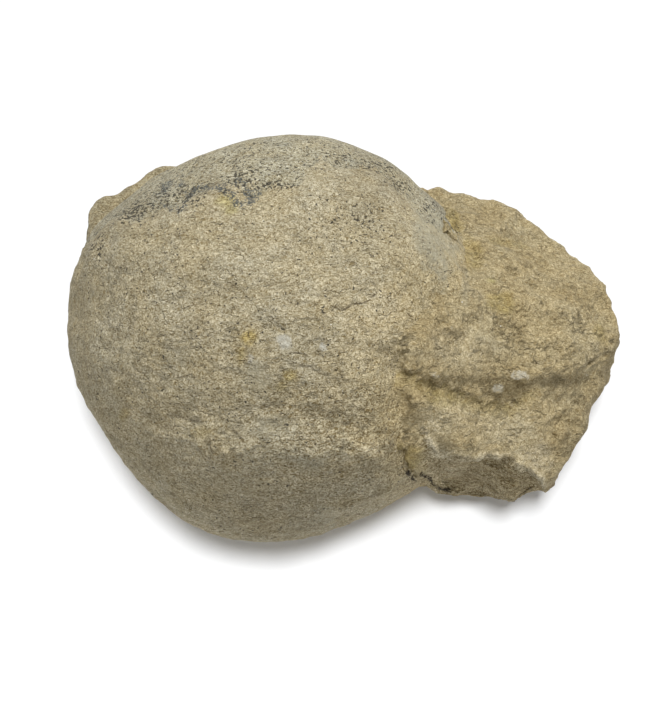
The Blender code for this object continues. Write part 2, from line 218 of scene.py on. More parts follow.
# The rock's long crease under the upper slab.
LONG_CREASE = (
    (11.8, -9.0), (15.7, -9.9), (19.6, -10.5), (22.8, -10.8), (26.6, -11.8), (29.4, -11.6),
    (31.6, -10.3), (34.9, -8.9), (41.0, -6.4), (44.6, -4.0),
)
CREASE_RAGGED = (0.8, 0.35)  # how far its broad and its fine bends stray from the line
CREASE_ENDS = (36, 29)  # from where to where, along x, its lip and hollow come in
CREASE_RISE = 0.32  # how far its ragged lip stands up
LIP_START = (0.0, 0.5)  # how far above the crease the lip starts, and has its full height
LIP_END = (3.2, 0.6)  # how far above it ends, and is still at its full height
CREASE_SINK = 0.2  # how deep its hollow is
HOLLOW_MIDDLE = 0.3  # how far below the crease that is
HOLLOW_WIDTH = 0.9
HOLLOW_OCHRE = 0.6
LEDGE_START = (0.5, 2.0)  # how far below the crease the calmer ledge starts, and is whole

# The lesser hollows and creases: line, width and depth.
ROCK_CREASES = {
    "diagonal crease": (((30.3, 6.0), (31.7, 5.6), (32.4, 5.0), (33.4, 4.5)), 0.5, 0.5),
    "pink hollow": (((27.6, 10.4), (29.7, 11.4), (32.3, 12.3)), 1.3, 0.6),
    "middle hollow": (((27.2, 2.0), (31.2, -0.3), (34.1, -0.9), (36.1, -1.1)), 1.2, 0.35),
    "upper valley": (((20.8, 16.5), (21.8, 14.7), (23.9, 11.7), (25.9, 6.5)), 1.0, 0.9),
}
LESSER_RAGGED = 0.4  # how far they stray from their lines

# The step at the long crease's right end is filled up to a slope, so that the crease dies out there.
FILL_MIDDLE = (38.0, -9.0)
FILL_HEIGHT = 32.2  # the slope's height at its middle
FILL_SLOPE = (-0.88, 0.45)  # its rise along x and along y
FILL_CURVE = -0.03  # its bend along x
FILL_START = (30, 38)  # from where to where, along x, it comes in
FILL_REACH = (8, 6)  # how far across the crease it ends, and how far it is whole
FILL_CENTRE = -0.75  # the middle of that reach, along y from the slope's middle
FILL_MOST = 3
FILL_FACING = (0.1, 0.4)  # how far up a surface has to face to be filled

# Crevices where the rock has parted from the egg, painted black as the shade in them, as the camera sees
# them: strength and line.
CREVICES = {
    "lower left": (1.0, ((10.1, -16.3), (10.4, -16.8), (11.1, -17.5))),
    "lower": (1.0, (
        (12.0, -16.7), (12.6, -17.0), (13.2, -17.5), (13.7, -18.1), (14.5, -18.6), (15.9, -18.9),
    )),
    "lower clump": (1.0, ((12.9, -16.9), (13.3, -17.2))),
    "upper": (0.75, ((13.3, 20.7), (14.0, 19.5), (15.1, 18.3), (15.9, 16.9), (16.8, 16.0))),
}
CREVICE_WIDTH = 0.75
CREVICE_DEPTH = 0.3

# The ragged rim over the dark face where the lump's lower end broke off, as the camera sees it.
BREAK_RIM = (
    (11.8, -10.1), (13.2, -12.2), (13.9, -13.4), (15.9, -14.2), (17.6, -14.7), (19.3, -14.5), (20.5, -14.1),
    (21.8, -14.1), (24.4, -14.7), (25.8, -15.7), (27.1, -16.5), (28.3, -17.2), (28.5, -18.3),
)
RIM_RAGGED = 0.35  # how far the rim strays from its line
RIM_RISE = 0.6
RIM_WIDTH = 0.6
# the rim's pale band: partly its own pale broken edge, partly a painted highlight where the edge catches
# the light
RIM_PALE_AND_HIGHLIGHT = 1.6
WALL_START = (0.0, 0.45)  # how far below the rim the wall starts, and is whole
RIM_LEFT = (11.5, 13.0)  # from where to where, across, the rim and the wall below it come in
RIM_RIGHT = (29.5, 28.3)
BREAK_SINK = 0.45  # how far the dark face is sunk
BREAK_LEFT = (14.0, 16.0)  # from where to where, across, the dark face comes in

# Pebbles that stand out of the rock: (x, y, radius, height).
PEBBLES = (
    (31.1, -8.3, 0.85, 0.4), (28.0, -9.9, 0.7, 0.4), (19.4, -9.6, 0.55, 0.4), (21.6, -3.5, 0.4, 0.3),
    (16.8, -12.4, 0.9, 0.55), (24.1, -4.8, 0.6, 0.25), (26.1, -5.4, 0.5, 0.25),
)

# From where to where, along x and along y, the two knobs behind the egg start, and their looks.
KNOBS_X = (-12, -16)
KNOBS_Y = (4, 8)
KNOBS_COARSE = 0.6
KNOBS_GREY = 0.5

# Where the rock's skin reaches farther over the egg, as the camera sees it: (across, up, radii).
LAPS = ((13.2, -14.4, 4.4, 4.2), (17.0, 17.6, 2.4, 2.6))
LAP_REACH = 5.0  # how much farther over the egg the skin reaches there
LAP_RISE = 0.5

# Swellings and hollows that shape the rock's outline, as the camera sees it: (across, up, radius,
# height).
ROCK_SWELLINGS = (
    (11.9, -18.8, 1.8, -0.4), (15.9, -19.5, 1.6, 0.8), (17.6, -13.9, 2.2, 1.3), (24.0, -19.9, 2.6, 1.8),
    (28.3, -18.8, 1.2, 0.3), (34.3, -10.3, 2.0, 0.6), (37.2, -4.5, 1.8, 0.9), (37.7, 5.2, 1.8, -0.7),
    (36.2, 9.3, 2.5, 0.8), (28.7, 15.8, 1.5, -0.4), (23.2, 19.7, 2.4, 1.0), (14.3, 21.9, 1.5, 0.8),
    (-32.5, 19.0, 2.5, 0.6), (-29.3, 21.4, 1.5, -0.5),
)

# Where the rock's broken relief is calmer, where shade is painted on a side turned away from the light, and
# where light is painted on a slope turned away from it, as the camera sees it: (across, up, radius,
# strength).
ROCK_CALM = ((19.5, 1.0, 6.0, 1.0), (9.5, -2.5, 5.0, 1.0), (15.0, -9.5, 3.5, 0.8), (30.0, -8.0, 6.0, 0.6))
ROCK_PAINTED_SHADE = ((34.5, -10.0, 4.0, 0.9),)
ROCK_PAINTED_LIGHT = ((14.3, -16.2, 2.6, 0.45),)

# Marks of one colour: (x, y, radius along x, radius along y, strength).
ROCK_OCHRE = (
    (28.5, 1.3, 2.0, 1.3, 0.8), (22.4, 13.4, 1.3, 2.6, 0.8), (24.8, 8.6, 1.3, 2.6, 0.6),
    (42.2, -1.0, 1.0, 1.5, 0.6), (16.5, -19.2, 1.9, 1.2, 0.8), (30.0, 11.2, 2.8, 0.9, 0.4),
    (20.4, -11.9, 2.4, 1.1, 0.7), (25.5, -12.2, 3.0, 0.9, 0.6),
)
ROCK_PALE_MARKS = (
    (27.0, -14.2, 8.0, 2.4, 0.3), (33.5, -17.8, 2.4, 1.6, 0.8), (19.5, -15.5, 1.2, 1.0, 0.5),
    (22.5, -6.0, 4.0, 2.5, 0.3),
)
ROCK_YELLOW = ((27.3, 4.2, 0.7, 0.5, 0.9),)
ROCK_WHITE = (
    (31.0, -8.2, 1.2, 0.6, 0.9), (28.0, -9.8, 0.9, 0.6, 0.9), (19.5, -9.6, 0.8, 0.4, 0.7),
    (21.6, -3.4, 0.5, 0.4, 0.6), (22.0, -0.1, 1.0, 0.3, 0.4),
)
ROCK_GREY = ((26.3, -4.7, 2.6, 1.7, 0.25), (23.4, 3.8, 0.8, 2.6, 0.6))

# Colours, linear.
SAND_PALE = (0.482, 0.422, 0.282, 1)
SAND_DARK = (0.448, 0.386, 0.248, 1)
SHELL = (0.440, 0.398, 0.276, 1)
SHELL_GREY = (0.380, 0.348, 0.246, 1)
ROCK_PALE = (0.480, 0.395, 0.228, 1)
ROCK_DARK = (0.405, 0.325, 0.178, 1)
HOLLOW = (0.340, 0.265, 0.130, 1)
# the flakes' thin dark edge lines, partly painted shade at each little drop
FLAKE_LINE_AND_SHADE = (0.130, 0.095, 0.050, 1)
OCHRE = (0.390, 0.300, 0.105, 1)
YELLOW = (0.460, 0.395, 0.170, 1)
WHITE = (0.590, 0.555, 0.445, 1)
GLINT = (0.80, 0.78, 0.68, 1)
PALE = (0.640, 0.560, 0.380, 1)
GREY = (0.395, 0.372, 0.275, 1)
FLOOR_WHITE = (0.92, 0.935, 0.96, 1)
# the shade kept on the meshes is painted into the colour, together with a darker tone in some places
SHADE = 0.86  # what is left of a colour where it is fully shaded
DARK_GRAIN = (0.47, 0.41, 0.28)  # what the darkest and the lightest grains make of a colour
LIGHT_GRAIN = (1.52, 1.58, 1.72)
WARM = (1.012, 0.998, 0.965)  # the slow drift of the sand's tint, one way and the other
COOL = (0.988, 1.002, 1.025)
BROWN_CRACK = (0.105, 0.078, 0.045, 1)
BLACK_SPECK = (0.055, 0.048, 0.035, 1)
STAIN = (0.090, 0.100, 0.098, 1)
CREVICE_SHADE = (0.036, 0.026, 0.014, 1)


# ---- geometry

def smooth_step(start, end, value):
    """0 up to the start, 1 from the end on, and smooth between them; the end may be the lower one."""
    share = np.clip((value - start) / (end - start), 0, 1)
    return share * share * (3 - 2 * share)


def shell_points(node, grown=0):
    """A CAD node's mesh, as points grown by this many millimetres along their normals, and faces."""
    bm = bmesh.new()
    bm.from_mesh(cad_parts[node].data)
    bmesh.ops.remove_doubles(bm, verts=bm.verts, dist=0.001 * MM)
    bm.normal_update()
    bm.verts.index_update()
    points = [vert.co + vert.normal * grown * MM for vert in bm.verts]
    faces = [tuple(vert.index for vert in face.verts) for face in bm.faces]
    bm.free()
    return points, faces


def distance_to(node, points, farthest):
    """Each point's distance to a CAD node's surface, up to the farthest that matters."""
    found = BVHTree.FromPolygons(*shell_points(node))
    limit = farthest * MM
    distances = np.full(len(points), farthest)
    for index, point in enumerate(((points + FOOT) * MM).tolist()):
        distance = found.find_nearest(point, limit)[3]
        if distance is not None:
            distances[index] = distance / MM
    return distances


def new_object(name, points, faces):
    """A new object in the scene, with a mesh of these points and faces."""
    mesh = bpy.data.meshes.new(name)
    mesh.from_pydata(points, [], faces)
    obj = bpy.data.objects.new(name, mesh)
    bpy.context.scene.collection.objects.link(obj)
    return obj


def apply_modifiers(obj):
    """Replaces the object's mesh by what its modifiers make of it."""
    bpy.context.view_layer.update()
    graph = bpy.context.evaluated_depsgraph_get()
    mesh = bpy.data.meshes.new_from_object(obj.evaluated_get(graph))
    mesh.name = obj.name
    obj.modifiers.clear()
    obj.data = mesh


def remesh_and_smooth(obj, voxel, smoothing):
    """Gives the object an even fine mesh, with its facets smoothed out."""
    remesh = obj.modifiers.new("remesh", "REMESH")
    remesh.mode = "VOXEL"
    remesh.voxel_size = voxel * MM
    soften = obj.modifiers.new("soften", "SMOOTH")
    soften.factor = 0.5
    soften.iterations = smoothing
    apply_modifiers(obj)


def places(mesh):
    """The mesh's points, in millimetres from the foot."""
    co = np.empty(len(mesh.vertices) * 3)
    mesh.vertices.foreach_get("co", co)
    return co.reshape(-1, 3) / MM - FOOT


def normals(mesh):
    """The mesh's vertex normals."""
    co = np.empty(len(mesh.vertices) * 3)
    mesh.vertices.foreach_get("normal", co)
    return co.reshape(-1, 3)


def move_points(mesh, points):
    """Puts the mesh's points at these places, none of them below the table."""
    co = (points + FOOT) * MM
    co[:, 2] = np.maximum(co[:, 2], 0)
    mesh.vertices.foreach_set("co", co.ravel())
    mesh.update()


def unfold(mesh, points, outward):
    """Smooths the few places where the relief has folded the surface over itself."""
    edges = np.empty(len(mesh.edges) * 2, np.int32)
    mesh.edges.foreach_get("vertices", edges)
    count = np.bincount(edges, minlength=len(points))
    first, second = edges.reshape(-1, 2).T
    folded = (normals(mesh) * outward).sum(axis=1) < FOLD_TURN
    for _ in range(FOLD_REACH):
        beside = folded[first] | folded[second]
        folded[first[beside]] = True
        folded[second[beside]] = True
    for _ in range(FOLD_SMOOTHING):
        total = [np.bincount(first, points[second, axis], len(points))
                 + np.bincount(second, points[first, axis], len(points)) for axis in range(3)]
        middle = np.stack(total, axis=1) / count[:, None]
        points[folded] += 0.5 * (middle - points)[folded]
    move_points(mesh, points)


def seen(points):
    """Where the camera sees each point: millimetres across and up from the middle of its picture."""
    tilt = math.radians(CAMERA_TILT)
    away = points - CAMERA_TARGET
    up = away[:, 1] * math.cos(tilt) + away[:, 2] * math.sin(tilt)
    nearer = away[:, 2] * math.cos(tilt) - away[:, 1] * math.sin(tilt)
    share = 1 / (1 - nearer * MM / CAMERA_DISTANCE)
    return np.stack((away[:, 0] * share, up * share), axis=1)


def swellings(view, spots):
    """Height of a set of broad smooth swellings and hollows, placed as the camera sees them."""
    height = np.zeros(len(view))
    for across, up, radius, most in spots:
        height += most * np.exp(-((view[:, 0] - across) ** 2 + (view[:, 1] - up) ** 2) / radius ** 2)
    return height


def by_height(heights, points):
    """A smooth change from 0 for points at the first of two heights to 1 at the second."""
    return smooth_step(*heights, points[:, 2])


def swell(points, size, seed, octaves=3):
    """Smooth natural noise, about -1 to 1, whose swells are this many millimetres across."""
    spots = (points / size + SEED_STEP * seed).tolist()
    return np.array([noise.fractal(spot, 1.0, 2.0, octaves) for spot in spots])


def scoops(points, size, seed):
    """Relief of broken stone, about 0 to 1: shallow scoops that meet in sharp ridges."""
    height = np.empty(len(points))
    for index, spot in enumerate((points / size + SEED_STEP * seed).tolist()):
        height[index] = min(away * away + SCOOP_LEVELS * noise.cell(centre * SCOOP_SPREAD)
                            for away, centre in zip(*noise.voronoi(spot)))
    return height


def terraces(points, size, seed, steps):
    """Flaked relief, about -1 to 1: level steps with short ragged drops between them."""
    level = swell(points, size, seed, octaves=4) * steps
    whole = np.floor(level)
    return (whole + smooth_step(1 - FLAKE_EDGE, 1, level - whole)) / steps


def line_distance(plan, line):
    """Each plan point's distance to a line of points, and its side of it: 1 left, -1 right."""
    nearest = np.full(len(plan), np.inf)
    side = np.ones(len(plan))
    for start, end in zip(np.array(line[:-1]), np.array(line[1:])):
        run = end - start
        away = plan - start
        along = np.clip(away @ run / (run @ run), 0, 1)
        distance = np.linalg.norm(away - along[:, None] * run, axis=1)
        closer = distance < nearest
        nearest[closer] = distance[closer]
        turn = run[0] * away[:, 1] - run[1] * away[:, 0]
        side[closer] = np.where(turn >= 0, 1, -1)[closer]
    return nearest, side


def marks(points, spots, wander):
    """Strength of a set of coloured marks on the upper side, with ragged edges."""
    strength = np.zeros(len(points))
    for x, y, radius_x, radius_y, most in spots:
        away = np.hypot((points[:, 0] - x) / radius_x, (points[:, 1] - y) / radius_y)
        strength = np.maximum(strength, most * smooth_step(*MARK_EDGE, away + 0.5 * wander))
    return strength * smooth_step(*MARK_HEIGHTS, points[:, 2] + 3 * wander)


def strokes(points, lines, width, wander, heights):
    """Strength of marks drawn along lines that the camera sees, strongest in their middle."""
    view = seen(points)
    strength = np.zeros(len(points))
    for most, line in lines.values():
        distance, _ = line_distance(view, line)
        distance += STROKE_WANDER * wander
        strength = np.maximum(strength, most * smooth_step(width, 0, distance))
    return strength * by_height(heights, points)


def crevices(points, wander):
    """How far each point is in a crevice, 0 to 1."""
    return strokes(points, CREVICES, CREVICE_WIDTH, wander, CREVICE_HEIGHTS)


def crack_fields(plan, cracks):
    """Signed distance to the nearest crack, and how strong it is near its line."""
    across = np.full(len(plan), CRACK_FAR)
    near = np.zeros(len(plan))
    for strength, line in cracks.values():
        distance, side = line_distance(plan, line)
        closer = distance < np.abs(across)
        across[closer] = (distance * side)[closer]
        near = np.maximum(near, strength * smooth_step(CRACK_REACH, 0.3 * CRACK_REACH, distance))
    return np.clip(across, -CRACK_LIMIT, CRACK_LIMIT), near


def bumps(plan, spots, wander):
    """Height of a set of little lumps and pits with clear ragged edges."""
    height = np.zeros(len(plan))
    for x, y, radius, most in spots:
        away = np.hypot(plan[:, 0] - x, plan[:, 1] - y) / radius
        height += most * smooth_step(*BUMP_EDGE, away + 0.25 * wander)
    return height


def keep_values(mesh, **values):
    """Stores a number for each point of the mesh, under each name, for its material to read."""
    for name, numbers in values.items():
        layer = mesh.attributes.new(name, "FLOAT", "POINT")
        layer.data.foreach_set("value", np.asarray(numbers, np.float32))


# ---- egg

def past_crust_edge(points):
    """How far each point is inside the sandy crust, in plan; negative on the bare shell."""
    line = np.array(CRUST_EDGE)
    edge = np.interp(points[:, 0], line[:, 0], line[:, 1])
    ragged = EDGE_RAGGED * swell(points, size=2.6, seed=3, octaves=4)
    straying = EDGE_STRAYING * by_height(EDGE_LOW, points) * swell(points, size=9.0, seed=4, octaves=2)
    return edge + ragged + straying - points[:, 1]


def egg_relief(points):
    """The relief of the egg's sandy crust."""
    knobbly = swell(points, size=5.0, seed=5)
    flakes = terraces(points, size=4.5, seed=6, steps=4)
    pits = scoops(points, size=2.0, seed=7) - SCOOP_MIDDLE
    chips = scoops(points * DRAWN_OUT, size=1.2, seed=8) - SCOOP_MIDDLE
    return EGG_KNOBBLY * knobbly + EGG_FLAKES * flakes + EGG_PITS * pits + EGG_CHIPS * chips


def make_egg():
    """The egg: sandy crust on its face, bare speckled shell at its crown."""
    obj = new_object("fossil_egg", *shell_points("egg"))
    remesh_and_smooth(obj, EGG_VOXEL, EGG_SMOOTHING)
    mesh = obj.data
    points = places(mesh)
    outward = normals(mesh)
    plan = points[:, :2]

    sandy = smooth_step(*CRUST_START, past_crust_edge(points))
    relief = egg_relief(points)
    wander = swell(points, size=1.5, seed=9)
    grey = marks(points, EGG_GREY, wander)
    view = seen(points)
    coarse = swellings(view, EGG_COARSE)
    rough = SHELL_ROUGH + (1 - SHELL_ROUGH) * sandy
    rough *= (1 - GREY_CALM * grey) * (1 + COARSE_GAIN * coarse)
    upper = by_height(EGG_UPPER, points)
    across, near = crack_fields(plan, EGG_CRACKS)
    near *= upper
    groove = np.exp(-((across / CRACK_WIDTH) ** 2))
    step = np.clip(across / CRACK_WIDTH, -1, 1)
    lift = CRUST_HEIGHT * sandy + rough * relief + near * (CRACK_STEP * step - CRACK_DEPTH * groove)
    lift += upper * bumps(plan, EGG_BUMPS, wander) + swellings(view, EGG_SWELLINGS)
    points += outward * lift[:, None]
    move_points(mesh, points)
    from_rock = distance_to("matrix", points, max(ROCKY_REACH))
    keep_values(
        mesh,
        sandy=sandy,
        relief=np.clip(relief / EGG_DEEPEST, -1, 1),
        across=across,
        near=near,
        ochre=marks(points, EGG_OCHRE, wander),
        yellow=marks(points, EGG_YELLOW, wander),
        white=marks(points, EGG_WHITE, wander),
        pale=marks(points, EGG_PALE, wander),
        grey=grey,
        rough=rough,
        coarse=coarse + SHELL_COARSE * (1 - sandy),
        # painted shade on the egg's lower face, and a darker tone on its shell and upper face
        shade=swellings(view, EGG_PAINTED_SHADE_AND_TONE),
        stain=strokes(points, STAINS, STAIN_WIDTH, wander, STAIN_HEIGHTS),
        crevice=crevices(points, wander),
        specks=np.maximum(SHELL_SPECKS * (1 - sandy), marks(points, EGG_SPECKS, wander)),
        rocky=smooth_step(*ROCKY_REACH, from_rock + wander) * sandy,
    )
    return obj


# ---- rock

def fused_rock():
    """The rock as one mesh with a skin over the egg, so that it runs up onto the egg smoothly."""
    points, faces = shell_points("matrix")
    skin, skin_faces = shell_points("egg", SKIN_HEIGHT)
    faces += [tuple(index + len(points) for index in face) for face in skin_faces]
    obj = new_object("sandstone_matrix", points + skin, faces)
    remesh_and_smooth(obj, ROCK_VOXEL, ROCK_SMOOTHING)
    return obj


def cut_socket(obj):
    """Cuts away all that lies inside the egg, a little below its surface."""
    cutter = new_object("socket_cutter", *shell_points("egg", -SOCKET_DEPTH))
    cut = obj.modifiers.new("socket", "BOOLEAN")
    cut.operation = "DIFFERENCE"
    cut.solver = "MANIFOLD"
    cut.object = cutter
    apply_modifiers(obj)
    bpy.data.objects.remove(cutter)


def filled_step(points, outward):
    """How far up each point is moved to fill the step at the long crease's right end."""
    x, y = (points[:, :2] - FILL_MIDDLE).T
    level = FILL_HEIGHT + FILL_SLOPE[1] * y + FILL_SLOPE[0] * x + FILL_CURVE * x * x
    here = smooth_step(*FILL_START, points[:, 0]) * smooth_step(*FILL_REACH, np.abs(y - FILL_CENTRE))
    here *= smooth_step(*FILL_FACING, outward[:, 2])
    return here * np.clip(level - points[:, 2], 0, FILL_MOST)


def laps(view, wander):
    """Where the rock's skin reaches farther over the egg, 0 to 1."""
    lap = np.zeros(len(view))
    for middle, up, radius_across, radius_up in LAPS:
        away = np.hypot((view[:, 0] - middle) / radius_across, (view[:, 1] - up) / radius_up)
        lap = np.maximum(lap, smooth_step(*LAP_EDGE, away + 0.15 * wander))
    return lap


def swollen_rock():
    """The fused rock in its broad shape: the object, its points, their wander, and where it is skin."""
    obj = fused_rock()
    mesh = obj.data
    points = places(mesh)
    points[:, 2] += filled_step(points, normals(mesh))
    move_points(mesh, points)
    wander = swell(points, size=2.0, seed=21)
    view = seen(points)
    lap = laps(view, wander) * by_height(LAP_HEIGHTS, points)
    apart = distance_to("matrix", points, LAP_REACH) + 0.5 * wander - LAP_REACH * lap
    skin = smooth_step(*SKIN_EDGE, apart)
    shape = (swellings(view, ROCK_SWELLINGS) + LAP_RISE * lap) * (1 - skin)
    points += normals(mesh) * shape[:, None]
    move_points(mesh, points)
    return obj, points, wander, skin


def rock_relief(points):
    """The relief of broken sandstone."""
    broken = scoops(points, size=5.0, seed=22) - SCOOP_MIDDLE
    chips = scoops(points * DRAWN_OUT, size=2.0, seed=23) - SCOOP_MIDDLE
    splinters = scoops(points * DRAWN_OUT, size=1.1, seed=26) - SCOOP_MIDDLE
    flakes = terraces(points, size=6.0, seed=24, steps=4)
    return ROCK_BROKEN * broken + ROCK_CHIPS * chips + ROCK_FLAKES * flakes + ROCK_SPLINTERS * splinters


def long_crease(points, wander):
    """The long crease, 0 to 1: the ragged lip over it, the hollow under that, and the ledge below."""
    broad, fine = CREASE_RAGGED
    ragged = broad * wander + fine * swell(points, size=0.9, seed=25, octaves=2)
    distance, side = line_distance(points[:, :2] + ragged[:, None] * (0.3, 1.0), LONG_CREASE)
    here = smooth_step(*CREASE_ENDS, points[:, 0])
    lip = smooth_step(*LIP_START, distance) * smooth_step(*LIP_END, distance) * (side > 0)
    lip *= smooth_step(-0.9, 0.6, swell(points, size=3.0, seed=27, octaves=2)) * here
    hollow = np.exp(-(((distance - HOLLOW_MIDDLE) / HOLLOW_WIDTH) ** 2)) * (side < 0) * here
    return lip, hollow, (side < 0) * smooth_step(*LEDGE_START, distance)


def lesser_creases(plan, wander):
    """Depth of the rock's lesser hollows and creases."""
    depths = np.zeros(len(plan))
    for line, width, depth in ROCK_CREASES.values():
        distance, _ = line_distance(plan + LESSER_RAGGED * wander[:, None], line)
        depths = np.maximum(depths, depth * np.exp(-((distance / width) ** 2)))
    return depths


def broken_end(view, wander):
    """The lump's broken lower end, 0 to 1: its ragged rim, the wall below it, and the dark face."""
    distance, side = line_distance(view + RIM_RAGGED * wander[:, None], BREAK_RIM)
    here = smooth_step(*RIM_RIGHT, view[:, 0]) * smooth_step(*RIM_LEFT, view[:, 0])
    rim = np.exp(-((distance / RIM_WIDTH) ** 2)) * smooth_step(-0.9, 0.2, wander) * here
    wall = smooth_step(*WALL_START, distance) * (side < 0) * here
    return rim, wall, wall * smooth_step(*BREAK_LEFT, view[:, 0])


def make_rock():
    """The lump and bed of broken sandstone."""
    obj, points, wander, skin = swollen_rock()
    mesh = obj.data
    outward = normals(mesh)
    plan = points[:, :2]
    view = seen(points)
    fine = swell(points, size=0.8, seed=28, octaves=2)
    upper = by_height(ROCK_UPPER, points)
    on_knobs = smooth_step(*KNOBS_X, points[:, 0]) * smooth_step(*KNOBS_Y, points[:, 1])
    calm = np.minimum(swellings(view, ROCK_CALM), 1)
    lip, hollow, ledge = long_crease(points, wander)
    rim, wall, dark_face = broken_end(view, wander)
    rim *= upper

    relief = rock_relief(points) * (1 - CALM_RELIEF * calm)
    rough = (1 - KNOBS_CALM * on_knobs) * (1 - CALM_ROUGH * calm)
    rough *= (1 - LEDGE_CALM * ledge * upper) * (1 + WALL_GAIN * wall)
    lift = rough * relief - upper * lesser_creases(plan, wander)
    lift -= CREVICE_DEPTH * crevices(points, wander)
    lift += upper * (CREASE_RISE * lip - CREASE_SINK * hollow)
    lift += RIM_RISE * rim - BREAK_SINK * dark_face + upper * bumps(plan, PEBBLES, wander + fine)
    lift = lift * (1 - skin) - SKIN_SINK * skin
    points += outward * lift[:, None]
    move_points(mesh, points)
    unfold(mesh, points, outward)
    # painted light on the slope left of the broken face, which turns away from the key light
    painted_light = swellings(view, ROCK_PAINTED_LIGHT)
    keep_values(
        mesh,
        relief=np.clip(relief / ROCK_DEEPEST, -1, 1),
        crevice=crevices(points, wander),
        # painted shade on the broken face, which faces away from the light, and on the lower right side;
        # the knobs are darkened all over
        shade=np.maximum(dark_face, on_knobs) + swellings(view, ROCK_PAINTED_SHADE),
        rough=rough,
        coarse=wall + KNOBS_COARSE * on_knobs,
        ochre=np.maximum(marks(points, ROCK_OCHRE, wander), HOLLOW_OCHRE * upper * hollow),
        yellow=marks(points, ROCK_YELLOW, wander),
        white=marks(points, ROCK_WHITE, wander + 0.7 * fine),
        # pale marks, the rim's pale band with its painted highlight, and the painted light on the slope by
        # the broken face
        pale=np.maximum(marks(points, ROCK_PALE_MARKS, wander), RIM_PALE_AND_HIGHLIGHT * rim) + painted_light,
        grey=np.maximum(marks(points, ROCK_GREY, wander), KNOBS_GREY * on_knobs),
    )
    cut_socket(obj)
    return obj


# ---- materials

BEND_SPACING = 0.8  # the grains and little broken faces are bent by a noise
BEND_REACH = 0.9
STREAKS = (0.45, 1.0, 1.0)  # what is read at places times this is drawn out along x
GRAIN_SIZE = 0.112
GRAIN_HEIGHT = 0.07
GRAIN_MIDDLE = 0.55  # the grains' value that changes no colour
GRAIN_CLUMPS = 0.07  # how much a slower noise adds to that value
PLAIN_GRAIN = 0.4  # the share of the grains' contrast that is left in grey and white marks
LEDGE_HEIGHT = 0.2
LEDGE_STEPS = 6.0
GLINT_SPACING = 1.7
GLINT_RADIUS = (0.07, 0.04)  # where a glint ends and is whole, as shares of their spacing
SPECULAR = 0.25


class Nodes:
    """One material's node tree, built a node at a time."""

    def __init__(self, name):
        self.material = bpy.data.materials.new(name)
        self.material.use_nodes = True
        self.tree = self.material.node_tree
        self.shader = self.tree.nodes["Principled BSDF"]
        coordinates = self.add("ShaderNodeTexCoord")
        scaled = self.add("ShaderNodeVectorMath", {0: coordinates.outputs["Object"]}, operation="SCALE")
        scaled.inputs["Scale"].default_value = 1 / MM
        self.place = scaled.outputs[0]  # millimetres
        waves = {"Vector": self.place, "Scale": 1 / BEND_SPACING, "Detail": 1.0}
        waves = self.add("ShaderNodeTexNoise", waves).outputs["Color"]
        self.bent = self.vectors("ADD", self.place, self.scaled(waves, BEND_REACH))
        self.streaked = self.tinted(self.place, STREAKS)

    def add(self, kind, inputs=None, **settings):
        """Adds a node with these settings, and links or sets its inputs."""
        node = self.tree.nodes.new(kind)
        for key, value in settings.items():
            setattr(node, key, value)
        for key, value in (inputs or {}).items():
            if isinstance(value, bpy.types.NodeSocket):
                self.tree.links.new(value, node.inputs[key])
            else:
                node.inputs[key].default_value = value
        return node

    def math(self, operation, first, second=0.0):
        """An operation on two values."""
        return self.add("ShaderNodeMath", {0: first, 1: second}, operation=operation).outputs[0]

    def plus(self, first, second):
        """A sum of two values."""
        return self.math("ADD", first, second)

    def times(self, first, second):
        """A product of two values."""
        return self.math("MULTIPLY", first, second)

    def vectors(self, operation, first, second):
        """An operation on two vectors."""
        return self.add("ShaderNodeVectorMath", {0: first, 1: second}, operation=operation).outputs[0]

    def ramp(self, value, low, high, from_value=0.0, to_value=1.0):
        """A smooth change from one value to another as the input goes from low to high."""
        limits = {"Value": value, "From Min": low, "From Max": high}
        limits |= {"To Min": from_value, "To Max": to_value}
        return self.add("ShaderNodeMapRange", limits, interpolation_type="SMOOTHSTEP").outputs[0]

    def mix(self, share, first, second):
        """A mix of two colours."""
        made = self.add("ShaderNodeMix", {"Factor": share}, data_type="RGBA", clamp_factor=True)
        for socket, value in ((made.inputs[6], first), (made.inputs[7], second)):
            if isinstance(value, bpy.types.NodeSocket):
                self.tree.links.new(value, socket)
            else:
                socket.default_value = value
        return made.outputs[2]

    def scaled(self, colour, share):
        """A colour times a value."""
        return self.add("ShaderNodeVectorMath", {0: colour, "Scale": share}, operation="SCALE").outputs[0]

    def tinted(self, colour, tint):
        """A colour times another."""
        return self.vectors("MULTIPLY", colour, tint)

    def noise(self, size, detail=3.0, rough=0.5, place=None):
        """Noise whose swells are this many millimetres across."""
        inputs = {"Vector": place or self.place, "Scale": 1 / size, "Detail": detail, "Roughness": rough}
        return self.add("ShaderNodeTexNoise", inputs).outputs["Fac"]

    def cells(self, size, place=None):
        """Voronoi cells this many millimetres across: (distance from the middle, random value)."""
        node = self.add("ShaderNodeTexVoronoi", {"Vector": place or self.place, "Scale": 1 / size})
        value = self.add("ShaderNodeSeparateColor", {0: node.outputs["Color"]})
        return node.outputs["Distance"], value.outputs[0]

    def value(self, name):
        """A number kept on the mesh's points."""
        return self.add("ShaderNodeAttribute", attribute_name=name).outputs["Fac"]

    def finish(self, colour, height, roughness):
        """Joins colour, height in millimetres and roughness to the shader."""
        bump = self.add("ShaderNodeBump", {"Height": height, "Distance": MM, "Strength": 1.0})
        self.tree.links.new(bump.outputs[0], self.shader.inputs["Normal"])
        self.tree.links.new(colour, self.shader.inputs["Base Color"])
        self.tree.links.new(roughness, self.shader.inputs["Roughness"])
        self.shader.inputs["Specular IOR Level"].default_value = SPECULAR
        return self.material


